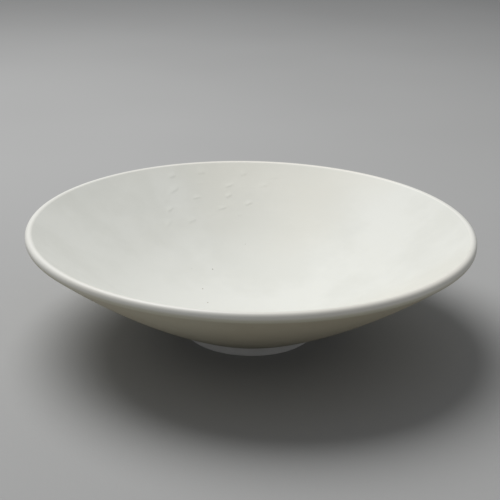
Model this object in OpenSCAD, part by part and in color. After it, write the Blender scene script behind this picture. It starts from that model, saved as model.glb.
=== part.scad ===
// Evaporating dish: a wide, shallow bowl of glazed white clay on a low foot ring.
// Every piece is turned about the Z axis, and the dish stands on z = 0.
// A section is drawn in the X-Z half plane as X, Y and then revolved.

/* [Dish] */
// Diameter over the rim
dish_d = 200; // [170:1:280]
// Height from the table to the top of the rim
dish_h = 52; // [44:0.5:72]
// Radius of the long arc that bows the wall outwards
wall_bow_r = 315; // [220:5:600]
// Thickness of clay that the long inner arc keeps from the outer arc at the foot
wall_t = 5; // [3.5:0.1:6.5]
// Thickness of clay at the middle of the floor
floor_t = 5; // [3.5:0.1:8]

/* [Lip] */
// Thickness of the rolled lip
lip_d = 3.8; // [2.8:0.1:5]
// Height of the upright band round the outside of the lip
lip_band = 0.7; // [0.2:0.1:2]

/* [Foot] */
// Outer diameter of the foot ring where it meets the table
foot_d = 60; // [44:1:80]
// Height of the turned base above the table
foot_h = 4; // [3:0.1:7]
// Width of the foot ring's clay
foot_w = 5; // [3.5:0.1:8]
// Amount that each side of the foot ring leans in towards its top
foot_draft = 0.5; // [0:0.1:1]
// Size of the bevel that is sponged on the foot ring's lower edges
foot_edge = 0.6; // [0.2:0.1:1.2]
// Overhang of the wall past the top of the foot ring
foot_step = 0.6; // [0.3:0.1:2]
// Thickness of the slip that fixes the foot ring to the base
slip_t = 0.4; // [0.2:0.1:0.8]
// Radius of the slip fillet inside the foot ring
slip_fillet_r = 1; // [0.5:0.1:1.5]

/* [Glaze] */
// Thickness of every coat of glaze
glaze_t = 0.35; // [0.2:0.05:0.6]
// Height of bare clay left between the foot ring and the outer glaze
glaze_line = 0.5; // [0.3:0.1:2]
// Gap of bare clay between the slip fillet and the glaze in the recess
recess_gap = 0.5; // [0.2:0.1:2]

/* [Runs and specks] */
// Rows of raised runs in the inner glaze
run_rows = 5; // [1:1:6]
// Runs in each row
run_count = 4; // [1:1:5]
// Distance of the outermost row in from the rim
run_inset = 9; // [8:1:14]
// Distance from one row to the next
run_pitch = 5.5; // [5:0.5:7]
// Direction of the first run, from the X axis
run_start_a = 80; // [0:1:359]
// Angle between the runs in a row
run_step_a = 11; // [10:1:20]
// Share of that angle that each row is moved along by from the one outside it
run_shift = 0.25; // [0:0.05:0.5]
// Length of the longest run
run_l = 8; // [4:0.5:8.5]
// Width of a run
run_w = 2.2; // [1:0.1:2.4]
// Height of a run above the glaze
run_h = 0.25; // [0.15:0.05:0.4]
// Diameter of the largest speck
speck_d = 1.4; // [0.8:0.1:2]
// Number of specks
speck_count = 5; // [1:1:7]
// Distance of the outermost speck from the middle
speck_out = 53; // [40:1:70]
// Distance of each further speck from the middle, as a share of the one before
speck_share = 0.72; // [0.68:0.02:0.9]
// Direction of the outermost speck, from the X axis
speck_start_a = 93; // [0:1:359]
// Angle from one speck to the next
speck_step_a = 26; // [20:1:120]

/* [Hidden] */
$fn = 256;

clay = [0.93, 0.91, 0.87];
biscuit = [0.80, 0.80, 0.78];
slip = [0.76, 0.75, 0.72];
white_glaze = [0.94, 0.94, 0.91];
ivory_glaze = [0.92, 0.89, 0.82];
rim_glaze = [0.95, 0.95, 0.93];
speck_brown = [0.45, 0.38, 0.30];

lip_r = lip_d / 2;
// The lip's section is two circles, one lip_band above the other.
lip_top = [dish_d / 2 - lip_r, dish_h - lip_r];
lip_low = lip_top - [0, lip_band];

foot_out_r = foot_d / 2;
foot_in_r = foot_out_r - foot_w;
foot_top_out_r = foot_out_r - foot_draft;
foot_top_in_r = foot_in_r + foot_draft;
// The glazed wall starts over the outer top edge of the foot ring.
wall_foot = [foot_top_out_r + foot_step, foot_h];

// Point at distance ra from a and rb from b, on the left of the way from a to b.
function meet(a, ra, b, rb) =
    let (gap = norm(b - a), way = (b - a) / gap, along = (gap^2 + ra^2 - rb^2) / (2 * gap))
    a + along * way + sqrt(ra^2 - along^2) * [-way[1], way[0]];

// The outer arc starts over the foot and runs into the lower lip circle without a corner.
wall_c = meet(wall_foot, wall_bow_r, lip_low, wall_bow_r - lip_r);
// The long inner arc keeps its distance at the foot and runs into the upper lip circle.
side_r = wall_bow_r - wall_t;
side_c = meet(wall_foot, wall_bow_r, lip_top, side_r + lip_r);
// The floor is part of a sphere on the axis that the long inner arc runs into.
floor_z = foot_h + floor_t + glaze_t;
floor_drop = side_c[1] - floor_z;
floor_r = (side_r^2 - side_c[0]^2 - floor_drop^2) / (2 * (side_r - floor_drop));
floor_c = [0, floor_z + floor_r];
// The floor meets the side on the line through both centres.
bend_way = (floor_c - side_c) / norm(floor_c - side_c);
bend = floor_c + floor_r * bend_way;
lip_out_way = (lip_low - wall_c) / norm(lip_low - wall_c);
lip_in_way = (side_c - lip_top) / norm(side_c - lip_top);

// Lines that cut a section run this far past what they cut.
past = 8;
sky = floor_c[1] + dish_h;
wide = dish_d;

// Height of the glazed inside at a distance from the axis, and how steeply it rises there.
function inside_z(r) = r < bend[0] ? floor_c[1] - sqrt(floor_r^2 - r^2)
                                   : side_c[1] - sqrt(side_r^2 - (r - side_c[0])^2);
function inside_a(r) = r < bend[0] ? asin(r / floor_r) : asin((r - side_c[0]) / side_r);

// A fraction from 0 to 1 that jumps about as i counts up.
function scatter(i) = i * 0.618 - floor(i * 0.618);

module spun() {
    rotate_extrude() children();
}

// The hollow of the dish, grown by the depth that a layer reaches under the glazed surface.
module hollow(grow = 0) {
    deep = floor_c + 2 * floor_r * bend_way;
    difference() {
        intersection() {
            translate(side_c) circle(side_r + grow);
            translate([0, deep[1]]) square([wide, sky - deep[1]]);
        }
        difference() {
            polygon([floor_c, deep, [-past, deep[1]], [-past, floor_c[1]]]);
            translate(floor_c) circle(floor_r + grow);
        }
    }
}

// Everything under the lip, from the outer arc inwards.
module solid_wall(inset = 0) {
    intersection() {
        translate(wall_c) circle(wall_bow_r - inset);
        polygon([
            [0, foot_h],
            [wide, foot_h],
            lip_low + (lip_r + past) * lip_out_way,
            lip_low,
            lip_top,
            lip_top + (lip_r + past) * lip_in_way,
            [0, lip_top[1] + (lip_r + past) * lip_in_way[1]]
        ]);
    }
}

module lip_section(inset = 0) {
    translate(lip_top) circle(lip_r - inset);
    translate(lip_low) circle(lip_r - inset);
    translate(lip_low - [lip_r - inset, 0]) square([2 * (lip_r - inset), lip_band]);
}

// The part of a section that lies past the two lines across the lip.
module lip_side() {
    inner = lip_top + (lip_r + past) * lip_in_way;
    outer = lip_low + (lip_r + past) * lip_out_way;
    polygon([lip_low, outer, [2 * wide, outer[1]], [2 * wide, 2 * sky], [inner[0], 2 * sky], inner, lip_top]);
}

// Stands its children on the glazed inside, with Z straight out of the glaze.
module on_inside(r, a) {
    rotate([0, 0, a]) translate([r, 0, inside_z(r)]) rotate([0, -inside_a(r), 0]) children();
}

// Section of a run: a low ridge with a back half as wide as its flat underside.
module run_section() {
    back_w = run_w / 2;
    polygon([[-run_w / 2, 0], [run_w / 2, 0], [back_w / 2, run_h], [-back_w / 2, run_h]]);
}

module bowl_body() {
    color(clay) spun() {
        difference() {
            solid_wall(glaze_t);
            hollow(glaze_t);
        }
        lip_section(glaze_t);
    }
}

module foot_section() {
    polygon([
        [foot_top_in_r, foot_h - slip_t],
        [foot_top_out_r, foot_h - slip_t],
        [foot_out_r, foot_edge],
        [foot_out_r - foot_edge, 0],
        [foot_in_r + foot_edge, 0],
        [foot_in_r, foot_edge]
    ]);
}

module foot_ring() {
    color(biscuit) spun() foot_section();
}

// A thin layer on top of the foot ring, and a fillet in the corner inside it.
module luting_slip() {
    fillet_foot = [foot_top_in_r - slip_fillet_r, foot_h - slip_fillet_r];
    color(slip) spun() difference() {
        union() {
            translate([fillet_foot[0], foot_h - slip_t]) square([foot_top_out_r - fillet_foot[0], slip_t]);
            translate(fillet_foot) square(slip_fillet_r);
        }
        translate(fillet_foot) circle(slip_fillet_r);
        foot_section();
    }
}

module inner_glaze() {
    color(white_glaze) spun() difference() {
        hollow(glaze_t);
        hollow();
        lip_side();
    }
}

module outer_glaze() {
    color(ivory_glaze) spun() difference() {
        intersection() {
            solid_wall();
            translate([0, foot_h + glaze_line]) square([wide, dish_h]);
        }
        translate(wall_c) circle(wall_bow_r - glaze_t);
    }
}

module lip_glaze() {
    color(rim_glaze) spun() intersection() {
        difference() {
            lip_section();
            lip_section(glaze_t);
        }
        lip_side();
    }
}

module recess_glaze() {
    glaze_r = foot_top_in_r - slip_fillet_r - recess_gap;
    color(white_glaze) translate([0, 0, foot_h - glaze_t]) cylinder(h = glaze_t, r = glaze_r);
}

// Row by row down from the rim, each row moved along a little. A run lies along the level line of the
// bowl, so its underside keeps to the glaze.
module glaze_runs() {
    color(rim_glaze) for (row = [0 : run_rows - 1], i = [0 : run_count - 1]) {
        jump = scatter(row * run_count + i);
        r = dish_d / 2 - run_inset - row * run_pitch + jump;
        turn = run_l * (1 - 0.5 * jump) / r * 180 / PI;
        rotate([0, 0, run_start_a + (i + run_shift * (row + jump)) * run_step_a])
            rotate_extrude(angle = turn) translate([r, inside_z(r)]) rotate(inside_a(r)) run_section();
    }
}

module kiln_specks() {
    color(speck_brown) for (i = [0 : speck_count - 1])
        on_inside(speck_out * speck_share^i, speck_start_a + i * speck_step_a)
            spun() intersection() {
                circle(speck_d * (0.3 + 0.2 * scatter(3 * i)));
                square(speck_d);
            }
}

bowl_body();
foot_ring();
luting_slip();
inner_glaze();
outer_glaze();
lip_glaze();
recess_glaze();
glaze_runs();
kiln_specks();
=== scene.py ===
import math
import random

import bmesh
import bpy
from mathutils import Matrix, Vector, noise


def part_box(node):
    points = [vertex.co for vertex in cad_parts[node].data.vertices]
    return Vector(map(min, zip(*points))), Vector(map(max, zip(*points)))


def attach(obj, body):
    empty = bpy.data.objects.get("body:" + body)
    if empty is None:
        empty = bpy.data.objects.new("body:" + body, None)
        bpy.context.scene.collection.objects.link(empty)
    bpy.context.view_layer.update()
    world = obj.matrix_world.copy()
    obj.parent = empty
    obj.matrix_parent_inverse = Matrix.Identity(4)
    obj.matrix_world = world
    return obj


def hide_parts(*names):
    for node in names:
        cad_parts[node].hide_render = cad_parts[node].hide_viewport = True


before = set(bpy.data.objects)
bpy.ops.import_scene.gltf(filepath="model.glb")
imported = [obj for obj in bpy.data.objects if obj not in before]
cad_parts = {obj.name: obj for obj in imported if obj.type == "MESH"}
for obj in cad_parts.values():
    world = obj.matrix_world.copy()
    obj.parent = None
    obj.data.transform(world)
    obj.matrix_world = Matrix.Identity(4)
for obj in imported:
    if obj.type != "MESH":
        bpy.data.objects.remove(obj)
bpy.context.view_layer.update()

# ---------------------------------------------------------------------------
# Clay body. White porcelain clay, thrown and turned to one section: a floor that is part of a ball, a long
# bowed wall and a rolled lip. It is fired hard and matt, and shows only as a bare line above the foot ring.


class Value:
    """A socket of a material's nodes. Sums on it add Math nodes."""

    def __init__(self, tree, socket):
        self.tree = tree
        self.socket = socket

    def node(self, kind, settings=None, inputs=None, output=0):
        """Adds a node: its settings first, then the values or links of its sockets."""
        made = self.tree.nodes.new(kind)
        for key, value in (settings or {}).items():
            setattr(made, key, value)
        for key, value in (inputs or {}).items():
            if isinstance(value, Value):
                self.tree.links.new(value.socket, made.inputs[key])
            else:
                made.inputs[key].default_value = value
        return Value(self.tree, made.outputs[output])

    def maths(self, operation, a, b):
        return self.node("ShaderNodeMath", {"operation": operation}, {0: a, 1: b})

    def __add__(self, other):
        return self.maths("ADD", self, other)

    __radd__ = __add__

    def __sub__(self, other):
        return self.maths("SUBTRACT", self, other)

    def __rsub__(self, other):
        return self.maths("SUBTRACT", other, self)

    def __mul__(self, other):
        return self.maths("MULTIPLY", self, other)

    __rmul__ = __mul__

    def __pow__(self, other):
        return self.maths("POWER", self, other)

    def between(self, low, high):
        """0 below low, 1 above high, and a soft step from one to the other."""
        settings = {"interpolation_type": "SMOOTHSTEP"}
        return self.node("ShaderNodeMapRange", settings, {"Value": self, "From Min": low, "From Max": high})

    def noise(self, scale, detail=2.0, rough=0.5):
        return self.node("ShaderNodeTexNoise", None,
                         {"Vector": self, "Scale": scale, "Detail": detail, "Roughness": rough})

    def stretched(self, x, y, z):
        return self.node("ShaderNodeMapping", None, {"Vector": self, "Scale": (x, y, z)})

    def shade(self, first, second):
        """A colour that goes from first to second as this goes from 0 to 1."""
        ends = [end if isinstance(end, Value) else (*end, 1.0) for end in (first, second)]
        return self.node("ShaderNodeMix", {"data_type": "RGBA"}, {0: self, 6: ends[0], 7: ends[1]}, 2)


def new_finish(name, **fixed):
    """A new material: its shader, and a Value of the Object coordinates to paint with."""
    material = bpy.data.materials.new(name)
    material.use_nodes = True
    shader = material.node_tree.nodes["Principled BSDF"]
    for key, value in fixed.items():
        shader.inputs[key.replace("_", " ")].default_value = value
    place = material.node_tree.nodes.new("ShaderNodeTexCoord")
    return material, shader, Value(material.node_tree, place.outputs["Object"])


def feed(shader, bumps, **varying):
    """Links what varies to the shader. Each bump is a height and its depth in metres."""
    tree = shader.id_data
    for key, value in varying.items():
        tree.links.new(value.socket, shader.inputs[key.replace("_", " ")])
    normal = None
    for height, depth in bumps:
        inputs = {"Height": height, "Distance": depth}
        if normal:
            inputs["Normal"] = normal
        normal = height.node("ShaderNodeBump", None, inputs)
    if normal:
        tree.links.new(normal.socket, shader.inputs["Normal"])


def bare_clay(name, pale, dark, roughness):
    """Unglazed fired clay: fine grain, a little mottling and short marks left by turning."""
    material, shader, place = new_finish(name, IOR=1.5)
    grain = place.noise(2600.0, 4.0, 0.7)
    mottle = place.noise(90.0, 5.0, 0.6)
    turning = place.stretched(1.0, 1.0, 9.0).noise(260.0, 3.0, 0.6)
    tone = (mottle.between(0.35, 0.75) * 0.7 + grain * 0.3).shade(pale, dark)
    feed(shader, [(turning, 0.00006), (grain, 0.00005)], Base_Color=tone,
         Roughness=roughness + grain * 0.12)
    return material


clay_finish = bare_clay("fired clay", (0.72, 0.68, 0.60), (0.60, 0.56, 0.49), 0.62)
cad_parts["bowl_body"].data.materials.clear()
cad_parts["bowl_body"].data.materials.append(clay_finish)

# ---------------------------------------------------------------------------
# Foot ring. A turned ring of the same clay, left bare so that it doesn't stick to the kiln shelf. Its lower
# edges are sponged round, its standing face is rubbed smooth, and it leans in a little towards the base.


def arc(shape, start, centre, turn, steps):
    """Carries the section on from a vertex, anticlockwise round a centre in the X-Z plane."""
    spun = bmesh.ops.spin(shape, geom=[start], cent=(centre[0], 0.0, centre[1]), axis=(0.0, -1.0, 0.0),
                          angle=turn, steps=steps, use_merge=False, use_duplicate=False)
    return [part for part in spun["geom_last"] if isinstance(part, bmesh.types.BMVert)][0]


def line(shape, start, x, z):
    """Carries the section on from a vertex, straight to a new one."""
    grown = bmesh.ops.extrude_vert_indiv(shape, verts=[start])
    grown["verts"][0].co = (x, 0.0, z)
    return grown["verts"][0]


def turned(shape, steps):
    """Turns a closed section round the Z axis."""
    bmesh.ops.spin(shape, geom=shape.verts[:] + shape.edges[:], cent=(0.0, 0.0, 0.0), axis=(0.0, 0.0, 1.0),
                   angle=2 * math.pi, steps=steps, use_merge=True, use_duplicate=False)
    bmesh.ops.remove_doubles(shape, verts=shape.verts[:], dist=0.000002)
    bmesh.ops.recalc_face_normals(shape, faces=shape.faces[:])


def finished(shape, name, material):
    """Makes an object of a shape, smooth but for its sharp edges."""
    crease = 0.6
    for face in shape.faces:
        face.smooth = True
    for edge in shape.edges:
        edge.smooth = len(edge.link_faces) == 2 and edge.calc_face_angle() < crease
    mesh = bpy.data.meshes.new(name)
    shape.to_mesh(mesh)
    shape.free()
    mesh.materials.append(material)
    made = bpy.data.objects.new(name, mesh)
    bpy.context.scene.collection.objects.link(made)
    return made


foot_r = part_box("foot_ring")[1].x
foot_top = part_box("foot_ring")[1].z
foot_width = 0.005
foot_lean = 0.0005
foot_edge = 0.0006

foot_in_r = foot_r - foot_width
foot_shape = bmesh.new()
corner = foot_shape.verts.new((foot_in_r + foot_lean, 0.0, foot_top))
tip = line(foot_shape, corner, foot_r - foot_lean, foot_top)
tip = line(foot_shape, tip, foot_r, foot_edge)
tip = arc(foot_shape, tip, (foot_r - foot_edge, foot_edge), -math.pi / 2, 8)
tip = line(foot_shape, tip, foot_in_r + foot_edge, 0.0)
tip = arc(foot_shape, tip, (foot_in_r + foot_edge, foot_edge), -math.pi / 2, 8)
foot_shape.edges.new((tip, corner))
turned(foot_shape, 240)

foot_finish, foot_shader, place = new_finish("sponged biscuit", IOR=1.5)
height = place.node("ShaderNodeSeparateXYZ", None, {0: place}, 2)
grain = place.noise(3000.0, 4.0, 0.7)
mottle = place.noise(140.0, 5.0, 0.6)
turning = place.stretched(1.0, 1.0, 12.0).noise(300.0, 3.0, 0.6)
worn_height = 0.0009
worn = 1.0 - height.between(0.0, worn_height)
grime = worn * mottle.between(0.40, 0.62)
biscuit = (mottle.between(0.3, 0.8) * 0.6 + grain * 0.4).shade((0.76, 0.75, 0.72), (0.68, 0.67, 0.64))
biscuit = (grime * 0.45).shade(biscuit, (0.36, 0.35, 0.33))
feed(foot_shader, [(turning, 0.00008), (grain, 0.00006)], Base_Color=biscuit,
     Roughness=0.66 + grain * 0.12 - worn * 0.16)

foot = finished(foot_shape, "turned_foot_ring", foot_finish)
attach(foot, "root")
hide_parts("foot_ring")

# ---------------------------------------------------------------------------
# Luting slip. Liquid clay that was brushed between the ring and the base, wiped to a small fillet inside
# the ring, and fired to a darker grey than the ring.

slip_finish = bare_clay("fired slip", (0.50, 0.49, 0.46), (0.40, 0.39, 0.36), 0.7)
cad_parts["luting_slip"].data.materials.clear()
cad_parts["luting_slip"].data.materials.append(slip_finish)

# ---------------------------------------------------------------------------
# Inner coat. White glaze poured in, swilled round and tipped out. It lies over the floor and wall with a
# soft skin, faint rings from the thrower's fingers under it, and short raised runs at the back and left.

rim_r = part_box("lip_glaze")[1].x
rim_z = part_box("lip_glaze")[1].z
foot_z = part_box("bowl_body")[0].z
glaze_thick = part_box("recess_glaze")[1].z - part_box("recess_glaze")[0].z
wall_bow = 0.315
wall_thick = 0.005
floor_thick = 0.005
lip_r = 0.0019
foot_step = 0.0006


def meet(a, reach_a, b, reach_b):
    """The point at those distances from a and b, on the left of the way from a to b."""
    gap = (b - a).length
    way = (b - a) / gap
    along = (gap * gap + reach_a * reach_a - reach_b * reach_b) / (2 * gap)
    return a + along * way + math.sqrt(reach_a * reach_a - along * along) * Vector((-way.y, way.x))


lip_top = Vector((rim_r - lip_r, rim_z - lip_r))
wall_start = Vector((foot_r - foot_lean + foot_step, foot_z))
side_r = wall_bow - wall_thick
side_centre = meet(wall_start, wall_bow, lip_top, side_r + lip_r)
floor_z = foot_z + floor_thick + glaze_thick
floor_drop = side_centre.y - floor_z
floor_r = (side_r ** 2 - side_centre.x ** 2 - floor_drop ** 2) / (2 * (side_r - floor_drop))
floor_centre = Vector((0.0, floor_z + floor_r))
bend = floor_centre + (floor_centre - side_centre).normalized() * floor_r
lip_in = lip_top + (side_centre - lip_top).normalized() * lip_r


def angle_from(centre, point):
    """Direction of a point of the section seen from a centre, anticlockwise from straight down."""
    return math.atan2(point.x - centre.x, centre.y - point.y)


floor_turn = angle_from(floor_centre, bend)
side_turn = angle_from(side_centre, lip_in) - angle_from(side_centre, bend)


def inside_z(r):
    """Height of the inside at a distance from the axis."""
    if r < bend.x:
        return floor_centre.y - math.sqrt(floor_r ** 2 - r ** 2)
    return side_centre.y - math.sqrt(side_r ** 2 - (r - side_centre.x) ** 2)


def inside_rise(r):
    """Angle of the inside to the level at a distance from the axis."""
    if r < bend.x:
        return math.asin(r / floor_r)
    return math.asin((r - side_centre.x) / side_r)


inner_shape = bmesh.new()
tip = inner_shape.verts.new((0.0, 0.0, floor_z))
tip = arc(inner_shape, tip, floor_centre, floor_turn, 50)
tip = arc(inner_shape, tip, side_centre, side_turn, 34)
back_in = lip_in + (lip_in - side_centre).normalized() * glaze_thick
tip = line(inner_shape, tip, back_in.x, back_in.y)
tip = arc(inner_shape, tip, side_centre, -side_turn, 14)
tip = arc(inner_shape, tip, floor_centre, -floor_turn, 24)
tip.co = (0.0, 0.0, floor_z - glaze_thick)
turned(inner_shape, 360)


def lumps(node):
    """Lowest and highest corners of each separate lump of a CAD node, from the outermost lump inwards."""
    copy = bmesh.new()
    copy.from_mesh(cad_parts[node].data)
    bmesh.ops.remove_doubles(copy, verts=copy.verts[:], dist=0.000001)
    left = set(copy.verts)
    found = []
    while left:
        ahead = [left.pop()]
        low = ahead[0].co.copy()
        high = ahead[0].co.copy()
        while ahead:
            vert = ahead.pop()
            low = Vector(map(min, low, vert.co))
            high = Vector(map(max, high, vert.co))
            linked = {edge.other_vert(vert) for edge in vert.link_edges} & left
            left -= linked
            ahead += linked
        found.append((low, high))
    copy.free()
    return sorted(found, key=lambda corners: (-(corners[0] + corners[1]).xy.length, corners[0].x))


# Each run lies by the CAD's, but is slanted, and its place and size vary as they would by hand.
hand = random.Random(11)
runs = []
for low, high in lumps("glaze_runs"):
    middle = (low + high) / 2
    length = (high - low).xy.length * hand.uniform(0.5, 0.85)
    width = hand.uniform(0.0014, 0.0023)
    height = 0.00003 + 0.00011 * hand.random() ** 1.5
    slant = math.radians(hand.uniform(6, 30))
    spot = Matrix.Rotation(hand.uniform(-0.035, 0.035), 2) @ middle.xy * hand.uniform(0.985, 1.015)
    runs.append((spot, length, width, height, slant))


def run_lift(x, y):
    """Height that the runs raise the glaze by. A run falls off more steeply on its lower side."""
    upper_fall = 0.55
    lower_fall = 1.6
    lift = 0.0
    for spot, length, width, height, slant in runs:
        outwards = spot.normalized()
        away = Vector((x, y)) - spot
        level = away.x * outwards.y - away.y * outwards.x
        up = away.dot(outwards)
        along = (level * math.cos(slant) + up * math.sin(slant)) / (0.5 * length)
        across = (up * math.cos(slant) - level * math.sin(slant)) / (0.5 * width)
        across *= upper_fall if across > 0 else lower_fall
        if abs(along) < 2 and abs(across) < 2:
            lift += height * math.exp(-1.6 * along ** 4 - 1.4 * across ** 2)
    return lift


# The part of the inside that the runs cover, with some to spare: distances from the axis, and directions.
nearest_run = min(spot.length for spot, *rest in runs) - 0.005
farthest_run = lip_in.x - 0.001
first_run_way = min(math.atan2(spot.y, spot.x) for spot, *rest in runs) - 0.12
last_run_way = max(math.atan2(spot.y, spot.x) for spot, *rest in runs) + 0.12


def near_runs(x, y):
    """Whether a point lies in the part of the inside that the runs cover."""
    is_far_enough = nearest_run < math.hypot(x, y) < farthest_run
    return is_far_enough and first_run_way < math.atan2(y, x) < last_run_way


def is_inside(spot):
    """Whether a point of the coat is on its open side and not on the side that lies on the clay."""
    return spot.z > inside_z(min(math.hypot(spot.x, spot.y), lip_in.x)) - 0.3 * glaze_thick


patch = set()
for face in inner_shape.faces:
    spot = face.calc_center_median()
    if near_runs(spot.x, spot.y) and is_inside(spot):
        patch.update(face.edges)
patch_edges = [edge for edge in inner_shape.edges if edge in patch]
bmesh.ops.subdivide_edges(inner_shape, edges=patch_edges, cuts=3, use_grid_fill=True)

# The skin swells and sinks very slightly all over, but less and less towards the lip, where it has to meet
# the lip's coat. The very middle of the floor and the seam at the lip stay where they are.
swell_from = 0.0005
swell_to = lip_in.x - 0.0002
swell_fade = 0.004
for vert in inner_shape.verts:
    away = math.hypot(vert.co.x, vert.co.y)
    if is_inside(vert.co) and swell_from < away < swell_to:
        rise = inside_rise(away)
        swell = 0.00003 * noise.noise(vert.co * 45.0) + 0.000015 * noise.noise(vert.co * 160.0)
        lift = swell * min(1.0, (lip_in.x - away) / swell_fade)
        if near_runs(vert.co.x, vert.co.y):
            lift += run_lift(vert.co.x, vert.co.y)
        away_unit = Vector((vert.co.x / away, vert.co.y / away, 0.0))
        vert.co.z = inside_z(away)
        vert.co += lift * (Vector((0.0, 0.0, math.cos(rise))) - math.sin(rise) * away_unit)
inner_shape.normal_update()


def glaze(name, pale, deep, warm, ring_depth, roughness, shaded_colour=None, shaded_from=0.0, shaded_to=0.0):
    """Satin porcelain glaze: faint throwing rings, a soft orange-peel skin, cloudy tone and pinholes.

    From one height down to another it goes over to a darker colour, as painted shade that deepens
    downwards.
    """
    material, shader, place = new_finish(name, IOR=1.5, Coat_Roughness=0.3, Coat_IOR=1.45)
    x = place.node("ShaderNodeSeparateXYZ", None, {0: place}, 0)
    y = place.node("ShaderNodeSeparateXYZ", None, {0: place}, 1)
    z = place.node("ShaderNodeSeparateXYZ", None, {0: place}, 2)
    away = (x * x + y * y) ** 0.5
    ring_place = place.node("ShaderNodeCombineXYZ", None, {0: away + place.noise(14.0) * 0.004, 1: z * 0.4})
    rings = ring_place.noise(330.0, 3.0, 0.55)
    skin = place.noise(750.0, 2.0, 0.5)
    peel = place.noise(160.0, 3.0, 0.5)
    cloud = place.noise(22.0, 4.0, 0.6)
    drift = place.noise(7.0, 2.0, 0.5)
    cells = place.node("ShaderNodeTexVoronoi", None, {"Vector": place, "Scale": 85.0}, "Distance")
    pinhole = (1.0 - cells.between(0.018, 0.034)) * place.noise(37.0).between(0.52, 0.6)
    tone = cloud.between(0.40, 0.64).shade(pale, deep)
    tone = (drift.between(0.42, 0.62) * 0.6 + rings * 0.15).shade(tone, warm)
    if shaded_colour:
        # Painted shade: the colour goes darker from the upper height down to the lower one.
        tone = (1.0 - (z + cloud * 0.0008).between(shaded_to, shaded_from)).shade(tone, shaded_colour)
    tone = (pinhole * 0.5).shade(tone, (0.30, 0.26, 0.20))
    feed(shader, [(rings, ring_depth), (peel, 0.00005), (skin, 0.000008), (1.0 - pinhole, 0.00005)],
         Base_Color=tone, Roughness=roughness + cloud * 0.10 + skin * 0.05 + pinhole * 0.2,
         Coat_Weight=0.05 + drift * 0.1)
    return material


inner_finish = glaze("inner glaze", (0.79, 0.795, 0.748), (0.745, 0.75, 0.70), (0.775, 0.76, 0.68),
                     ring_depth=0.00003, roughness=0.60)
inner = finished(inner_shape, "inner_glaze_coat", inner_finish)
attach(inner, "root")
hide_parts("inner_glaze", "glaze_runs")

# ---------------------------------------------------------------------------
# Outer coat. The same glaze over the turned outside, in a warm ivory painted darker than the inside:
# painted shade, which deepens towards the foot. It stops in a soft round edge just above the foot ring.

lip_band = 0.0007
glaze_line = 0.0005
lip_low = lip_top - Vector((0.0, lip_band))
wall_centre = meet(wall_start, wall_bow, lip_low, wall_bow - lip_r)
lip_out = lip_low + (lip_low - wall_centre).normalized() * lip_r
outer_low_z = foot_z + glaze_line
outer_reach = math.sqrt(wall_bow ** 2 - (wall_centre.y - outer_low_z) ** 2)
outer_start = Vector((wall_centre.x + outer_reach, outer_low_z))
outer_turn = angle_from(wall_centre, lip_out) - angle_from(wall_centre, outer_start)
outer_shape = bmesh.new()
tip = outer_shape.verts.new((outer_start.x, 0.0, outer_start.y))
tip = arc(outer_shape, tip, wall_centre, outer_turn, 60)
back_out = lip_out - (lip_out - wall_centre).normalized() * glaze_thick
tip = line(outer_shape, tip, back_out.x, back_out.y)
tip = arc(outer_shape, tip, wall_centre, -outer_turn, 30)
edge_centre = (Vector(tip.co.xz) + outer_start) / 2
arc(outer_shape, tip, edge_centre, math.pi, 8)
turned(outer_shape, 360)
# Painted shade: these ivories are darker than the inside's, and the last colour deepens it from 40 mm down
# to 4 mm up.
outer_finish = glaze("outer glaze", (0.57, 0.545, 0.43), (0.52, 0.49, 0.38), (0.53, 0.47, 0.34),
                     ring_depth=0.00006, roughness=0.45,
                     shaded_colour=(0.40, 0.375, 0.29), shaded_from=0.040, shaded_to=0.004)
outer = finished(outer_shape, "outer_glaze_coat", outer_finish)
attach(outer, "root")
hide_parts("outer_glaze")

# ---------------------------------------------------------------------------
# Lip coat. Where the inside and outside coats meet over the rolled lip they melt into one smooth bead,
# glossier than the rest. It is painted paler than the inside coat, as painted light on the lip. Below its
# crest it goes over to the outside's darker ivory, which is painted shade.

over_turn = angle_from(lip_top, lip_in) % (2 * math.pi) - math.pi / 2
under_turn = math.pi / 2 - angle_from(lip_low, lip_out)
lip_shape = bmesh.new()
corner = lip_shape.verts.new((lip_in.x, 0.0, lip_in.y))
tip = arc(lip_shape, corner, lip_top, -over_turn, 22)
tip = line(lip_shape, tip, rim_r, lip_low.y)
tip = arc(lip_shape, tip, lip_low, -under_turn, 10)
tip = line(lip_shape, tip, back_out.x, back_out.y)
tip = arc(lip_shape, tip, lip_low, under_turn, 6)
tip = line(lip_shape, tip, rim_r - glaze_thick, lip_top.y)
tip = arc(lip_shape, tip, lip_top, over_turn, 10)
lip_shape.edges.new((tip, corner))
turned(lip_shape, 480)
# Painted light: paler than the inside glaze. The last colour is the outside's painted shade, below the
# crest.
lip_finish = glaze("lip glaze", (0.86, 0.855, 0.80), (0.83, 0.825, 0.77), (0.82, 0.79, 0.71),
                   ring_depth=0.00001, roughness=0.36,
                   shaded_colour=(0.575, 0.55, 0.435), shaded_from=0.0508, shaded_to=0.0493)
lip = finished(lip_shape, "lip_glaze_coat", lip_finish)
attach(lip, "root")
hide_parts("lip_glaze")

# ---------------------------------------------------------------------------
# Recess coat. A dab of white glaze swilled over the base inside the foot ring and wiped back from the slip.
# It seals the clay there, and has a soft edge.

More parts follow.
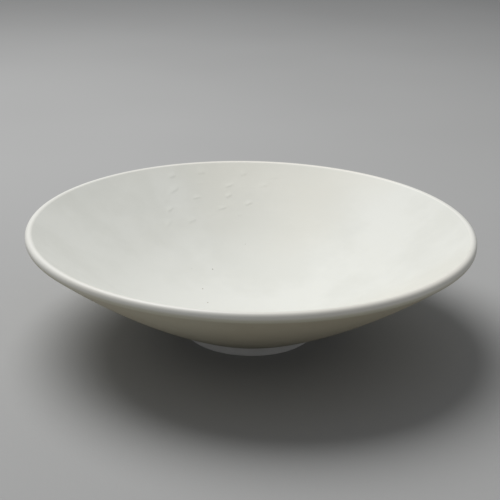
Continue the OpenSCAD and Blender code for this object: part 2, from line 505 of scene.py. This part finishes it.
recess_low, recess_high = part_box("recess_glaze")
recess_r = recess_high.x
recess_edge = 0.9 * glaze_thick
recess_shape = bmesh.new()
tip = recess_shape.verts.new((0.0, 0.0, recess_low.z))
tip = line(recess_shape, tip, recess_r - recess_edge, recess_low.z)
tip = arc(recess_shape, tip, (recess_r - recess_edge, recess_low.z + recess_edge), math.pi / 2, 6)
tip = line(recess_shape, tip, recess_r, recess_high.z)
line(recess_shape, tip, 0.0, recess_high.z)
turned(recess_shape, 240)
recess_finish = glaze("recess glaze", (0.76, 0.76, 0.72), (0.71, 0.71, 0.67), (0.73, 0.70, 0.63),
                      ring_depth=0.00005, roughness=0.36)
recess = finished(recess_shape, "recess_glaze_coat", recess_finish)
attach(recess, "root")
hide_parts("recess_glaze")

# ---------------------------------------------------------------------------
# Kiln specks. Grains of brown grit that fell on the glaze in the kiln and fused to it, so small that they
# read as dots. Each is a flattened, slightly rough ball, half of it above the glaze.

speck_finish, speck_shader, place = new_finish("kiln speck", IOR=1.55)
grit = place.noise(1500.0, 3.0, 0.6)
speck_tone = grit.between(0.3, 0.7).shade((0.30, 0.27, 0.22), (0.55, 0.51, 0.43))
feed(speck_shader, [(grit, 0.0001)], Base_Color=speck_tone, Roughness=0.4 + grit * 0.2)
speck_share = 0.6        # of the CAD's width
speck_flatness = Matrix.Diagonal((1.0, 0.8, 0.45, 1.0))
speck_dents = 0.00006
speck_shape = bmesh.new()
for low, high in lumps("kiln_specks"):
    middle = (low + high) / 2
    r = middle.xy.length
    spot = Matrix.Translation((middle.x, middle.y, inside_z(r)))
    way = Matrix.Rotation(math.atan2(middle.y, middle.x), 4, "Z")
    lean = Matrix.Rotation(-inside_rise(r), 4, "Y")
    bmesh.ops.create_icosphere(speck_shape, subdivisions=3, radius=0.5 * speck_share * (high.x - low.x),
                               matrix=spot @ way @ lean @ speck_flatness)
noise.seed_set(5)
for vert in speck_shape.verts:
    vert.co += speck_dents * noise.noise_vector(vert.co * 2600.0)
bmesh.ops.recalc_face_normals(speck_shape, faces=speck_shape.faces[:])
speck = finished(speck_shape, "fused_kiln_specks", speck_finish)
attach(speck, "root")
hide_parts("kiln_specks")

# ---------------------------------------------------------------------------
# Studio: a plain pale table top, one large soft light high on the left and a little behind, and a dim room.
# The table top is staged, so it isn't part of the dish.

table_reach = 3.0
table_shape = bmesh.new()
bmesh.ops.create_grid(table_shape, x_segments=1, y_segments=1, size=table_reach)
table_finish, table_shader, place = new_finish("table top", IOR=1.4)
weave = place.noise(900.0, 3.0, 0.6)
shade = place.noise(3.0).between(0.3, 0.7).shade((0.42, 0.42, 0.415), (0.40, 0.40, 0.395))
feed(table_shader, [(weave, 0.00005)], Base_Color=shade, Roughness=0.75 + weave * 0.1)
table = finished(table_shape, "table_top", table_finish)

lamp = bpy.data.lights.new("key", "AREA")
lamp.shape = "DISK"
lamp.size = 0.9
lamp.energy = 10.7
key = bpy.data.objects.new("key", lamp)
key.location = (-0.34, 0.32, 1.0)
key.rotation_euler = (Vector((0.0, 0.0, 0.03)) - key.location).to_track_quat("-Z", "Y").to_euler()
bpy.context.scene.collection.objects.link(key)

room = bpy.data.worlds.new("dim room")
room.use_nodes = True
room.node_tree.nodes["Background"].inputs["Color"].default_value = (0.95, 0.97, 1.0, 1.0)
room.node_tree.nodes["Background"].inputs["Strength"].default_value = 0.25
bpy.context.scene.world = room
bpy.context.scene.view_settings.view_transform = "Standard"

# Camera: half a metre away and looking down at the dish. It is tipped up a touch from the dish's middle,
# turned aside by a hair and rolled a degree.
reach = 0.5
tilt = math.radians(22.3)
tip_up = math.radians(1.37)
aside = math.radians(0.04)
roll = math.radians(1.16)
lens = bpy.data.cameras.new("camera")
lens.lens = 78.6
lens.sensor_width = 36.0
lens.clip_start = 0.01
camera = bpy.data.objects.new("camera", lens)
turn = Matrix.Rotation(math.pi / 2 - tilt + tip_up, 4, "X") @ Matrix.Rotation(aside, 4, "Y")
turn = turn @ Matrix.Rotation(roll, 4, "Z")
eye = Vector((0.0, -reach * math.cos(tilt), rim_z / 2 + reach * math.sin(tilt)))
camera.matrix_world = Matrix.Translation(eye) @ turn
bpy.context.scene.collection.objects.link(camera)
bpy.context.scene.camera = camera
